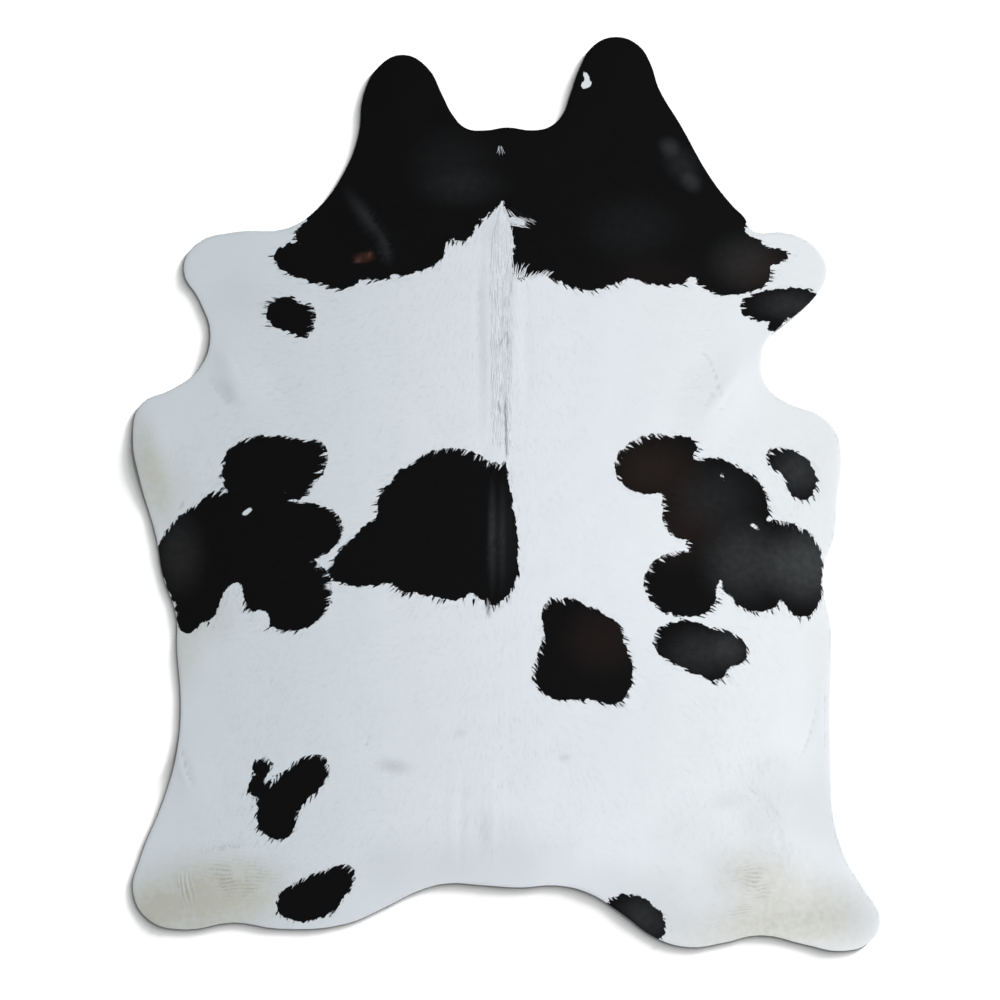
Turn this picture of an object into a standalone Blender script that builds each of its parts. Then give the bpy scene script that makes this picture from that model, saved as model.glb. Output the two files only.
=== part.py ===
"""A hair-on cowhide rug: one tanned skin, cut to the animal's outline, lying flat on the floor.

Metres, +Z up. The head end is at +Y and the tail end at -Y, and the floor is the plane z = 0.
"""
from collections import namedtuple
from math import cos, radians, sin

import bmesh
import bpy
from mathutils import Matrix

# Driving dimensions.
HIDE_WIDTH = 1.80          # widest, from the left leg ends to the right hind leg
HIDE_LENGTH = 2.20         # from the right ear to the right hind leg
SKIN_AND_HAIR = 0.0036     # leather and the hair that lies on it, at the belly and the legs
BACK_EXTRA = 0.0014        # the back is that much thicker: heavier leather and denser hair
BACK_HALF_WIDTH = 0.55     # where the thicker back has faded out, on either side of the spine

# How finely the outline and the surface are divided.
CELL = 0.036
STEPS_PER_KNOT = 4
BLANK_MARGIN = 0.05
CUTTER_HALF_HEIGHT = 0.10

Knot = namedtuple("Knot", "x y")
Swell = namedtuple("Swell", "name x y reach breadth turn height")

# The rim, clockwise from the left ear, a short run of knots for each part of the outline.
RIM = {
    "left ear": [
        Knot(-0.249, 1.057), Knot(-0.192, 1.027), Knot(-0.155, 0.959), Knot(-0.131, 0.913)],
    "poll": [
        Knot(-0.098, 0.880), Knot(-0.050, 0.875), Knot(0.001, 0.882), Knot(0.063, 0.875), Knot(0.105, 0.884)],
    "right ear": [
        Knot(0.136, 0.913), Knot(0.155, 0.962), Knot(0.177, 1.024), Knot(0.211, 1.080), Knot(0.264, 1.100),
        Knot(0.317, 1.080), Knot(0.346, 1.036), Knot(0.365, 0.978)],
    "right side of the neck": [
        Knot(0.418, 0.889), Knot(0.490, 0.762), Knot(0.545, 0.692), Knot(0.573, 0.664), Knot(0.584, 0.640)],
    "right foreleg": [
        Knot(0.604, 0.628), Knot(0.659, 0.629), Knot(0.717, 0.612), Knot(0.760, 0.571), Knot(0.770, 0.528),
        Knot(0.743, 0.477), Knot(0.683, 0.422)],
    "right armpit": [
        Knot(0.630, 0.376), Knot(0.612, 0.323), Knot(0.625, 0.260), Knot(0.678, 0.217)],
    "right flank": [
        Knot(0.751, 0.189), Knot(0.794, 0.147), Knot(0.805, 0.094), Knot(0.796, -0.014), Knot(0.787, -0.111),
        Knot(0.764, -0.174), Knot(0.764, -0.243), Knot(0.780, -0.308), Knot(0.781, -0.400),
        Knot(0.777, -0.521), Knot(0.780, -0.677)],
    "right hind leg": [
        Knot(0.787, -0.781), Knot(0.816, -0.877), Knot(0.859, -0.950), Knot(0.900, -1.027),
        Knot(0.871, -1.081), Knot(0.804, -1.100), Knot(0.722, -1.085), Knot(0.611, -1.062),
        Knot(0.519, -1.081), Knot(0.442, -1.091), Knot(0.363, -1.070)],
    "rump": [
        Knot(0.274, -1.007), Knot(0.196, -0.959), Knot(0.119, -0.942), Knot(0.033, -0.947),
        Knot(-0.064, -0.941), Knot(-0.141, -0.937), Knot(-0.208, -0.953), Knot(-0.290, -0.993)],
    "left hind leg": [
        Knot(-0.389, -1.035), Knot(-0.551, -1.046), Knot(-0.657, -1.031), Knot(-0.775, -1.048),
        Knot(-0.859, -1.027), Knot(-0.899, -0.959), Knot(-0.883, -0.882), Knot(-0.825, -0.737)],
    "left flank": [
        Knot(-0.792, -0.617), Knot(-0.784, -0.496), Knot(-0.793, -0.376), Knot(-0.795, -0.292),
        Knot(-0.827, -0.195), Knot(-0.842, -0.106), Knot(-0.882, 0.034), Knot(-0.899, 0.137),
        Knot(-0.881, 0.214), Knot(-0.806, 0.251)],
    "left armpit": [
        Knot(-0.739, 0.301), Knot(-0.712, 0.383), Knot(-0.739, 0.468)],
    "left foreleg": [
        Knot(-0.777, 0.540), Knot(-0.748, 0.600), Knot(-0.652, 0.630), Knot(-0.527, 0.639)],
    "left side of the neck": [
        Knot(-0.454, 0.687), Knot(-0.389, 0.776), Knot(-0.355, 0.865), Knot(-0.343, 0.962),
        Knot(-0.305, 1.031)],
}

# Where the skin doesn't lie quite flat: soft swells that fade to nothing at their reach and breadth.
# turn is the angle in degrees from +X to the swell's long way, and height how far it lifts the skin.
SWELLS = [
    Swell("left ear", -0.255, 0.965, 0.11, 0.08, 70, 0.006),
    Swell("right ear", 0.250, 0.985, 0.11, 0.08, 100, 0.005),
    Swell("fold left of the neck", -0.334, 0.646, 0.14, 0.06, -52, 0.008),
    Swell("spine", -0.008, 0.390, 0.42, 0.06, 90, 0.003),
    Swell("left armpit", -0.654, 0.290, 0.15, 0.08, -49, 0.009),
    Swell("right armpit", 0.534, 0.250, 0.15, 0.08, 54, 0.008),
    Swell("left belly edge", -0.865, 0.095, 0.13, 0.07, 80, 0.006),
    Swell("right belly edge", 0.800, 0.050, 0.13, 0.07, 95, 0.005),
    Swell("crease in the left thigh", -0.768, -0.660, 0.12, 0.06, -71, 0.006),
    Swell("right thigh edge", 0.775, -0.560, 0.18, 0.06, 90, 0.006),
    Swell("right thigh", 0.625, -0.765, 0.16, 0.08, -53, 0.007),
    Swell("left hind leg end", -0.727, -0.962, 0.16, 0.09, 5, 0.007),
    Swell("right hind leg end", 0.640, -0.962, 0.16, 0.09, -5, 0.007),
]


def clear_scene():
    for thing in list(bpy.data.objects):
        bpy.data.objects.remove(thing, do_unlink=True)


def new_collection(name):
    group = bpy.data.collections.new(name)
    bpy.context.scene.collection.children.link(group)
    return group


def smooth_fade(r):
    """1 in the middle, 0 from r = 1 outwards, level at both ends."""
    return (1 - r * r) ** 2 if r < 1 else 0.0


def lift(x, y):
    """Height of the skin's underside over the floor."""
    height = 0.0
    for swell in SWELLS:
        along = cos(radians(swell.turn)) * (x - swell.x) + sin(radians(swell.turn)) * (y - swell.y)
        across = cos(radians(swell.turn)) * (y - swell.y) - sin(radians(swell.turn)) * (x - swell.x)
        distance = ((along / swell.reach) ** 2 + (across / swell.breadth) ** 2) ** 0.5
        height += swell.height * smooth_fade(distance)
    return height


def thickness(x):
    """Leather and lying hair, thickest over the spine."""
    return SKIN_AND_HAIR + BACK_EXTRA * smooth_fade(abs(x) / BACK_HALF_WIDTH)


def rim_cutter(group):
    """A tall prism over the hide's outline: a closed curve through the knots, filled and made a mesh."""
    knots = [knot for stretch in RIM.values() for knot in stretch]
    curve = bpy.data.curves.new("rim_curve", "CURVE")
    curve.dimensions = "2D"
    curve.fill_mode = "BOTH"
    curve.extrude = CUTTER_HALF_HEIGHT
    curve.resolution_u = STEPS_PER_KNOT
    spline = curve.splines.new("BEZIER")
    spline.bezier_points.add(len(knots) - 1)
    spline.use_cyclic_u = True
    for point, knot in zip(spline.bezier_points, knots):
        point.co = (knot.x, knot.y, 0)
        point.handle_left_type = "AUTO"
        point.handle_right_type = "AUTO"
    drawn = bpy.data.objects.new("rim_curve", curve)
    group.objects.link(drawn)
    evaluated = drawn.evaluated_get(bpy.context.evaluated_depsgraph_get())
    mesh = bpy.data.meshes.new_from_object(evaluated)
    bpy.data.objects.remove(drawn, do_unlink=True)
    bm = bmesh.new()
    bm.from_mesh(mesh)
    bmesh.ops.remove_doubles(bm, verts=bm.verts, dist=0.00001)
    bmesh.ops.recalc_face_normals(bm, faces=bm.faces)
    bm.to_mesh(mesh)
    bm.free()
    cutter = bpy.data.objects.new("rim_cutter", mesh)
    cutter.hide_render = True
    cutter.display_type = "WIRE"
    group.objects.link(cutter)
    return cutter


def skin_blank():
    """A rectangular sheet, larger than the hide, with its swells and its thicker back."""
    width = HIDE_WIDTH + 2 * BLANK_MARGIN
    length = HIDE_LENGTH + 2 * BLANK_MARGIN
    bm = bmesh.new()
    bmesh.ops.create_grid(
        bm, x_segments=round(width / CELL), y_segments=round(length / CELL), size=0.5,
        matrix=Matrix.Diagonal((width, length, 1, 1)))
    underside = list(bm.verts)
    raised = bmesh.ops.extrude_face_region(bm, geom=bm.faces[:])["geom"]
    hair_side = [item for item in raised if isinstance(item, bmesh.types.BMVert)]
    for vert in underside:
        vert.co.z = lift(vert.co.x, vert.co.y)
    for vert in hair_side:
        vert.co.z = lift(vert.co.x, vert.co.y) + thickness(vert.co.x)
    bmesh.ops.recalc_face_normals(bm, faces=bm.faces)
    mesh = bpy.data.meshes.new("hide")
    bm.to_mesh(mesh)
    bm.free()
    return mesh


def white_coat():
    """The coat's main colour; the black patches are left to the fine surface."""
    material = bpy.data.materials.new("white_cow_coat")
    material.use_nodes = True
    shader = material.node_tree.nodes["Principled BSDF"]
    shader.inputs["Base Color"].default_value = (0.66, 0.70, 0.74, 1)
    shader.inputs["Roughness"].default_value = 0.7
    shader.inputs["Metallic"].default_value = 0.0
    return material


def make_hide(group, cutter):
    hide = bpy.data.objects.new("hide", skin_blank())
    hide.data.materials.append(white_coat())
    group.objects.link(hide)
    trim = hide.modifiers.new("cut to the outline", "BOOLEAN")
    trim.operation = "INTERSECT"
    trim.solver = "EXACT"
    trim.object = cutter
    return hide


clear_scene()
parts = new_collection("cowhide_rug")
cutters = new_collection("cutters")
make_hide(parts, rim_cutter(cutters))
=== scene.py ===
"""The looks of a black and white cowhide rug: a tanned skin with its hair on, laid flat on a pale floor.

Metres, +Z up, the head end at +Y. The outline and the height of every part of the hide come from the
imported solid; the leather, the coat and its hair are built on it here.
"""
from collections import namedtuple
from math import cos, pi, radians, sin, sqrt

import bmesh
import bpy
import numpy as np
from mathutils import Matrix, Vector
from mathutils.bvhtree import BVHTree


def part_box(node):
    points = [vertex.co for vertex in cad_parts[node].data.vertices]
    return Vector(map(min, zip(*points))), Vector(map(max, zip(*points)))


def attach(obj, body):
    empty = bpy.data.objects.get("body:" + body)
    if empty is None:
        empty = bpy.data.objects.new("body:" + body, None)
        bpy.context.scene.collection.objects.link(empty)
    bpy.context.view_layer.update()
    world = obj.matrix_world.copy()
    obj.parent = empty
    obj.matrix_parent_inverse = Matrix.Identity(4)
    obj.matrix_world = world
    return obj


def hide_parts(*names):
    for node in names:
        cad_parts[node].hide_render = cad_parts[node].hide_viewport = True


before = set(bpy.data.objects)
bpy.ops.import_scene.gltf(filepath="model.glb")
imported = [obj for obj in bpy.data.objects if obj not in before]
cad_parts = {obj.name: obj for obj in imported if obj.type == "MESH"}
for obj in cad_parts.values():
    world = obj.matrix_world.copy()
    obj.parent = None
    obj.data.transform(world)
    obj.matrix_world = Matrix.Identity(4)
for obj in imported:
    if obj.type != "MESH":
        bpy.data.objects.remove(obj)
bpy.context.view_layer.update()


# --- The skin -------------------------------------------------------------------------------------
# One tanned skin, cut to the animal's outline with a knife and left unlined. It is chrome-tanned
# leather a little under 2 mm thick, pale grey-beige suede underneath, with a raw edge.

SKIN_THICKNESS = 0.0018
ROOT_DEPTH = 0.0004        # the coat's base lies that far over the top of the skin's mesh
SKIN_CELL = 0.016
MAP_STEP = 0.006           # the outline and the heights are kept on a map of points this far apart
MAP_MARGIN = 0.03
RIM_DROOP = 0.5            # the rim of a swell hangs down by that share of its height
DROOP_REACH = 0.06
SMOOTHING_PASSES = 24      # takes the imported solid's flat facets out of the heights
BORDER_PASSES = 8
RELAX_PASSES = 6
STRAY_CELLS = 0.4          # a sheet's verts may start out that many cells outside the rim
LOOSE_CELLS = 3            # and those less than this many inside it are evened out
SAME_PLACE = 0.00001       # verts nearer to each other than this are joined
STEEP = 0.5                # a side wall's normal rises or falls less than this
SHARP_ANGLE = 50
TINY = 1e-9                # this and the next keep a division away from 0
SMALL = 1e-6
SUEDE = (0.5, 0.43, 0.35, 1)
SUEDE_DARK = (0.38, 0.32, 0.25, 1)


def merged_copy(node):
    """The node's triangles as one joined bmesh."""
    bm = bmesh.new()
    bm.from_mesh(node.data)
    bmesh.ops.remove_doubles(bm, verts=bm.verts, dist=SAME_PLACE)
    bm.normal_update()
    return bm


def read_rim(bm):
    """The outline as short straight pieces: the edges where the side wall meets the underside."""
    pieces = []
    for edge in bm.edges:
        slopes = sorted(face.normal.z for face in edge.link_faces)
        if len(slopes) == 2 and slopes[0] < -STEEP < slopes[1] < STEEP:
            pieces.append([vert.co[:2] for vert in edge.verts])
    return np.array(pieces)


def nearest_on_rim(x, y):
    """The outline's nearest point to each place, and the square of its distance."""
    near_x, near_y = np.zeros_like(x), np.zeros_like(y)
    least = np.full(x.shape, np.inf)
    for (ax, ay), (bx, by) in rim:
        share = ((x - ax) * (bx - ax) + (y - ay) * (by - ay)) / ((bx - ax) ** 2 + (by - ay) ** 2)
        share = np.clip(share, 0, 1)
        at_x = ax + share * (bx - ax)
        at_y = ay + share * (by - ay)
        square = (x - at_x) ** 2 + (y - at_y) ** 2
        nearer = square < least
        near_x[nearer] = at_x[nearer]
        near_y[nearer] = at_y[nearer]
        least[nearer] = square[nearer]
    return near_x, near_y, least


def rim_distance(x, y):
    """How far each place is inside the outline; outside, it is negative."""
    inside = np.zeros(x.shape, bool)
    for (ax, ay), (bx, by) in rim:
        left_of_edge = ((x - ax) * (by - ay) < (y - ay) * (bx - ax)) == (by > ay)
        inside ^= ((ay > y) != (by > y)) & left_of_edge
    return np.where(inside, 1, -1) * np.sqrt(nearest_on_rim(x, y)[2])


def read_map(values, x, y):
    """A map's value at each place, between its four nearest points."""
    rows, columns = values.shape
    just_inside = 1.001
    u = np.clip((x - west) / MAP_STEP, 0, columns - just_inside)
    v = np.clip((y - south) / MAP_STEP, 0, rows - just_inside)
    column, row = u.astype(int), v.astype(int)
    u, v = u - column, v - row
    lower = values[row, column] * (1 - u) + values[row, column + 1] * u
    upper = values[row + 1, column] * (1 - u) + values[row + 1, column + 1] * u
    return lower * (1 - v) + upper * v


def averaged(values):
    """Each point of a map as the mean of itself and its neighbours."""
    padded = np.pad(values, 1, mode="edge")
    across = padded[:, :-2] + 2 * padded[:, 1:-1] + padded[:, 2:]
    return (across[:-2] + 2 * across[1:-1] + across[2:]) / 16


def underside_map(bm):
    """The height of the solid's underside over the floor, carried on past the rim and smoothed."""
    tree = BVHTree.FromBMesh(bm)
    found = [tree.ray_cast(Vector((x, y, -1)), Vector((0, 0, 1)))[0]
             for x, y in zip(map_x.ravel(), map_y.ravel())]
    known = np.array([spot is not None for spot in found], float).reshape(map_x.shape)
    height = np.array([spot.z if spot else 0 for spot in found]).reshape(map_x.shape)
    for _pass in range(SMOOTHING_PASSES):
        weight = averaged(known)
        height = averaged(height * known) / np.maximum(weight, TINY)
        known = (weight > TINY).astype(float)
    return height


def sheet_in_outline(cell):
    """A level sheet of square cells cut to the outline, its border verts on the rim."""
    width = high.x - low.x + 2 * cell
    length = high.y - low.y + 2 * cell
    bm = bmesh.new()
    bmesh.ops.create_grid(
        bm, x_segments=round(width / cell), y_segments=round(length / cell), size=0.5,
        matrix=Matrix.Translation(((low.x + high.x) / 2, (low.y + high.y) / 2, 0))
        @ Matrix.Diagonal((width, length, 1, 1)))
    x, y = places(bm.verts)
    outside = read_map(inside_map, x, y) < -STRAY_CELLS * cell
    bmesh.ops.delete(bm, geom=[vert for vert, gone in zip(bm.verts, outside) if gone], context="VERTS")
    bm.verts.index_update()
    x, y = places(bm.verts)
    border = [vert for vert in bm.verts if vert.is_boundary]
    own = [vert.index for vert in border]
    beside = np.array([[edge.other_vert(vert).index for edge in vert.link_edges if edge.is_boundary][:2]
                       for vert in border])
    for _pass in range(BORDER_PASSES):
        x[own], y[own], _square = nearest_on_rim(
            x[own] / 2 + x[beside].mean(axis=1) / 2, y[own] / 2 + y[beside].mean(axis=1) / 2)
    for vert in border:
        vert.co.xy = x[vert.index], y[vert.index]
    near = read_map(inside_map, x, y) < LOOSE_CELLS * cell
    loose = [vert for vert in bm.verts if near[vert.index] and not vert.is_boundary]
    for _pass in range(RELAX_PASSES):
        bmesh.ops.smooth_vert(bm, verts=loose, factor=0.5, use_axis_x=True, use_axis_y=True)
    return bm


def places(verts):
    """The x and the y of each vert."""
    spots = np.array([vert.co[:2] for vert in verts])
    return spots[:, 0].copy(), spots[:, 1].copy()


def new_piece(name, bm, material):
    """A smooth-shaded object from a finished bmesh."""
    mesh = bpy.data.meshes.new(name)
    bm.to_mesh(mesh)
    bm.free()
    mesh.shade_smooth()
    return new_object(name, mesh, material)


def new_object(name, mesh, material):
    mesh.materials.append(material)
    piece = bpy.data.objects.new(name, mesh)
    bpy.context.scene.collection.objects.link(piece)
    return piece


def new_material(name, roughness, specular):
    """A material and its shader, with the values that are the same all over."""
    material = bpy.data.materials.new(name)
    material.use_nodes = True
    shader = material.node_tree.nodes["Principled BSDF"]
    shader.inputs["Roughness"].default_value = roughness
    shader.inputs["Specular IOR Level"].default_value = specular
    return material, shader


def add_node(material, kind, inputs=(), **settings):
    """A node with its settings, and its inputs given as {name or number: value or socket}."""
    node = material.node_tree.nodes.new("ShaderNode" + kind)
    for name, value in settings.items():
        setattr(node, name, value)
    for name, value in dict(inputs).items():
        feed(material, node.inputs[name], value)
    return node


def feed(material, socket, value):
    """Links a socket to an input, or sets the input to a value."""
    if isinstance(value, bpy.types.NodeSocket):
        material.node_tree.links.new(value, socket)
    else:
        socket.default_value = value


def mixed(material, factor, first, second, blend="MIX"):
    """The colour between first and second."""
    node = add_node(material, "Mix", {
        "Factor": factor, 6: first, 7: second}, data_type="RGBA", blend_type=blend)
    return node.outputs[2]


def sums(material, operation, first, second=0.0):
    """The result of one sum, such as ADD or MULTIPLY."""
    node = add_node(material, "Math", {0: first, 1: second}, operation=operation)
    return node.outputs[0]


def own_place(material):
    return add_node(material, "TexCoord").outputs["Object"]


def noise(material, scale, detail, distortion=0.0):
    """A noise from 0 to 1, its lumps about 1 / scale metres."""
    return add_node(material, "TexNoise", {
        "Vector": own_place(material), "Scale": scale, "Detail": detail,
        "Distortion": distortion}).outputs["Fac"]


def ranged(material, value, lowest, highest, at_lowest=0.0, at_highest=1.0):
    """The value carried over from one range to another, and held at its ends."""
    return add_node(material, "MapRange", {
        "Value": value, "From Min": lowest, "From Max": highest,
        "To Min": at_lowest, "To Max": at_highest}).outputs["Result"]


def bumped(material, shader, height, distance):
    """Feeds a height into the shader's normal."""
    bump = add_node(material, "Bump", {"Height": height, "Distance": distance})
    feed(material, shader.inputs["Normal"], bump.outputs["Normal"])


def suede():
    """The flesh side: short nap, cloudy from the splitting knife, with faint darker veins."""
    material, shader = new_material("tanned skin suede", roughness=0.92, specular=0.15)
    clouds = noise(material, scale=7, detail=4)
    nap = noise(material, scale=900, detail=2)
    veins = noise(material, scale=5, detail=3, distortion=1.2)
    off_vein = sums(material, "ABSOLUTE", sums(material, "SUBTRACT", veins, 0.5))
    vein = ranged(material, off_vein, 0.0, 0.02, at_lowest=0.5, at_highest=0.0)
    colour = mixed(material, clouds, SUEDE, SUEDE_DARK)
    colour = mixed(material, vein, colour, SUEDE_DARK)
    feed(material, shader.inputs["Base Color"], mixed(material, nap, colour, SUEDE))
    bumped(material, shader, nap, distance=0.0004)
    return material


low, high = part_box("hide")
solid = merged_copy(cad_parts["hide"])
rim = read_rim(solid)
west = low.x - MAP_MARGIN
south = low.y - MAP_MARGIN
map_x, map_y = np.meshgrid(
    np.arange(west, high.x + MAP_MARGIN, MAP_STEP), np.arange(south, high.y + MAP_MARGIN, MAP_STEP))
inside_map = rim_distance(map_x, map_y)
floor_gap_map = underside_map(solid)
floor_gap_map *= 1 - RIM_DROOP * np.clip(1 - inside_map / DROOP_REACH, 0, 1) ** 2
solid.free()

skin_bm = sheet_in_outline(SKIN_CELL)
skin_area = sum(face.calc_area() for face in skin_bm.faces)
skin_under = list(skin_bm.verts)
raised = bmesh.ops.extrude_face_region(skin_bm, geom=skin_bm.faces[:])["geom"]
skin_over = [item for item in raised if isinstance(item, bmesh.types.BMVert)]
for level, verts in ((0, skin_under), (SKIN_THICKNESS - ROOT_DEPTH, skin_over)):
    for vert, gap in zip(verts, read_map(floor_gap_map, *places(verts))):
        vert.co.z = gap + level
bmesh.ops.recalc_face_normals(skin_bm, faces=skin_bm.faces)
skin = new_piece("skin", skin_bm, suede())
skin.data.set_sharp_from_angle(angle=radians(SHARP_ANGLE))
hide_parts("hide")
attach(skin, "root")


# --- The coat -------------------------------------------------------------------------------------
# The dense under-layer of the hair, 1.4 to 2.4 mm deep and rounded over at the cut edge. It carries
# the black patches, the stains, painted shade and painted sheen, and the soft folds and wrinkles that
# dried into the skin.

COAT_CELL = 0.006
PILE = 0.0014              # depth of the coat's body at the belly and the legs
BACK_PILE = 0.001          # that much more on the back
BACK_HALF_WIDTH = 0.55
LEAST_PILE = 0.0006        # what is left of it in the deepest crease
COAT_UNEVENNESS = 0.00025
RIM_ROUND = 0.007          # how far in from the edge the coat has its full depth
OVERHANG = 0.0012
HEM_RISE = 0.0002          # the coat's hem hangs over the rim to that far above the leather
HEM_TUCK = 0.0006          # and is turned in that far under its top and inside the rim
HEM_ON_MAP = 0.004         # a row of the hem's faces is that wide on the flat map
PATCH_BLEND = 0.012        # how softly the lobes of a patch run into one another
EDGE_WANDER = 0.0026       # how far a patch's outline strays from its lobes
HAIR_LENGTH = 0.018
LEG_HAIR_SHARE = 0.75      # the share of it that is left on the legs and at the belly's edge
LEG_HAIR_REACH = 0.16      # how far in from the rim the hair has its full length
CREASE_HAIR_SHARE = 0.45   # the share that is left over creases and wrinkles, which show through it
CREASE_SPREAD = 3          # a crease shortens it over that many times the crease's own width
SEEN_SHARE = 0.37          # the part of a hair that shows is about that far along it

Lobe = namedtuple("Lobe", "x y half_along half_across turn", defaults=(0,))

# The black patches, each a few overlapping ovals in millimetres: the middle's x and y, half the length
# and half the width, and for a turned one the degrees anticlockwise from +X.
PATCHES = {
    "left of the neck": [
        (-205, 874, 248, 270), (-315, 660, 174, 147), (-452, 554, 116, 48, -10), (-490, 624, 22, 22),
        (-245, 962, 142, 145), (-377, 684, 111, 87, 35), (-218, 597, 70, 63), (-116, 643, 41, 39, -30),
        (-402, 520, 45, 29)],
    "right of the neck": [
        (4, 853, 140, 157), (206, 760, 218, 270), (95, 624, 75, 92), (52, 570, 36, 48),
        (38, 542, 22, 30), (274, 974, 169, 169), (394, 793, 263, 149, -60), (389, 669, 193, 169),
        (539, 559, 99, 80), (621, 569, 58, 22, 7), (655, 568, 28, 8, 10), (201, 537, 60, 51, -8),
        (600, 530, 42, 38)],
    "left shoulder spot": [
        (-529, 429, 58, 39, -15), (-498, 407, 27, 34), (-534, 455, 27, 24), (-490, 436, 22, 22)],
    "right foreleg": [
        (671, 460, 96, 36, 4), (620, 450, 53, 34), (659, 420, 34, 14, 50)],
    "left flank": [
        (-563, 72, 120, 67, -4), (-620, 48, 73, 63, 35), (-476, 94, 40, 36), (-510, 24, 34, 36),
        (-705, -19, 27, 22), (-739, -58, 53, 29, 25), (-493, -90, 92, 68), (-437, -80, 33, 34),
        (-529, -238, 103, 96), (-606, -99, 125, 116), (-604, -231, 36, 53), (-727, -153, 113, 109),
        (-756, -207, 67, 111, 15), (-764, -289, 31, 53, -10)],
    "middle of the back": [
        (-136, -85, 145, 176), (-136, 35, 106, 70), (-219, 8, 72, 61, 20), (-241, -32, 77, 65),
        (-303, -108, 63, 48, 12), (-318, -146, 114, 60, 25), (-33, -103, 55, 171), (-56, -180, 87, 78),
        (-8, 41, 12, 30), (-346, -189, 89, 34), (-208, -166, 96, 82), (6, -126, 24, 52),
        (-4, -227, 17, 28)],
    "right flank": [
        (358, 69, 94, 69, 12), (424, 110, 40, 29), (490, -14, 108, 99), (528, -39, 106, 106),
        (446, -53, 64, 63), (647, -161, 113, 92), (707, -201, 55, 101, 6), (428, -218, 91, 78),
        (461, -240, 49, 55), (604, -227, 70, 60, -20), (519, -123, 77, 96), (563, -180, 63, 67)],
    "right belly spot": [
        (678, 74, 50, 32, -22), (710, 35, 38, 54, 10), (724, 14, 14, 29)],
    "right of the loin": [
        (190, -383, 104, 106), (147, -309, 60, 53), (120, -286, 26, 30), (134, -433, 68, 67),
        (257, -436, 52, 77), (189, -448, 87, 53)],
    "below the right flank": [
        (442, -363, 84, 57, -8), (524, -374, 62, 43, -27), (504, -420, 36, 33, -15),
        (462, -405, 39, 31, -15)],
    "left thigh": [
        (-484, -686, 63, 44, 44), (-530, -722, 62, 44, 44), (-556, -769, 48, 70, 8),
        (-599, -713, 27, 24, 30), (-587, -668, 27, 27, 45), (-505, -738, 34, 20, 55),
        (-574, -795, 30, 28)],
    "left hind leg": [
        (-464, -969, 92, 48, 24), (-406, -930, 39, 31, 30), (-500, -991, 55, 43),
        (-446, -984, 46, 35, 30)],
    "right hind leg": [
        (317, -1024, 75, 41, -30), (341, -1041, 43, 48), (298, -998, 53, 29)],
}

# White nicks and inlets in the patches, written in the same way.
NICKS = [
    (193, 1003, 15.5, 5.5, -67), (192, 986, 13, 9, 17), (24, 657, 22, 9, -14), (600, 628, 28, 11, -22),
    (447, 513, 12, 10), (-269, 523, 12, 7), (-625, -43, 14, 5.5, 35), (-594, -306, 24, 26),
    (596, -77, 11, 4, -35), (519, 43, 2.5, 8, 20), (-664, -262, 25, 50, -20), (512, -229, 6, 22, -10),
    (553, -424, 22, 11, 18), (-86, -248, 12, 10), (-567, -674, 26, 6.5, 54),
]

Swell = namedtuple("Swell", "x y reach breadth turn height")

# Soft ridges and troughs that stayed in the skin when it dried, besides those of the solid.
SWELLS = {
    "fold in the left of the neck": Swell(-0.33, 0.65, 0.11, 0.02, -52, 0.0014),
    "fold's lower end": Swell(-0.292, 0.585, 0.04, 0.015, -75, 0.001),
    "left armpit ridge": Swell(-0.661, 0.3, 0.075, 0.026, -55, 0.002),
    "left armpit hollow": Swell(-0.69, 0.262, 0.08, 0.03, -55, -0.0014),
    "right armpit ridge": Swell(0.52, 0.24, 0.085, 0.022, 54, 0.0014),
    "left of the spine": Swell(-0.064, 0.38, 0.3, 0.018, 90, -0.001),
    "right of the spine": Swell(0.045, 0.35, 0.26, 0.022, 90, -0.0008),
    "left thigh crease": Swell(-0.768, -0.662, 0.062, 0.01, -72, -0.0016),
    "left thigh ridge": Swell(-0.786, -0.656, 0.062, 0.012, -72, 0.0012),
    "right flank edge": Swell(0.776, -0.56, 0.19, 0.01, 90, -0.001),
    "right flank crease": Swell(0.728, -0.582, 0.085, 0.009, 72, -0.0014),
    "right thigh arc": Swell(0.622, -0.745, 0.08, 0.01, -50, -0.0012),
    "right thigh arc's end": Swell(0.658, -0.835, 0.05, 0.009, -78, -0.001),
    "left hind leg, above the wrinkles": Swell(-0.69, -0.87, 0.13, 0.022, 8, 0.0014),
    "rump dip left": Swell(-0.11, -0.78, 0.17, 0.014, 88, -0.0009),
    "rump ridge": Swell(-0.032, -0.78, 0.17, 0.01, 90, 0.0008),
}

Wrinkles = namedtuple("Wrinkles", "x y reach breadth spacing turn wander depth")
WRINKLE_SHADE = 0.3        # how much painted shade greys the hair in a wrinkle's trough

# Fine wrinkles in the thin skin of the hind legs. turn is the way that they run across.
WRINKLES = {
    "left hind leg, level": Wrinkles(-0.65, -0.93, 0.085, 0.14, 0.0092, 88, 0.003, 0.0008),
    "left hind leg, upright": Wrinkles(-0.775, -0.955, 0.04, 0.07, 0.0085, 10, 0.003, 0.0008),
    "right hind leg": Wrinkles(0.592, -0.938, 0.095, 0.08, 0.0092, 86, 0.007, 0.0008),
    "right hind leg, lower": Wrinkles(0.52, -1.02, 0.045, 0.085, 0.0088, 93, 0.004, 0.0006),
}
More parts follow.
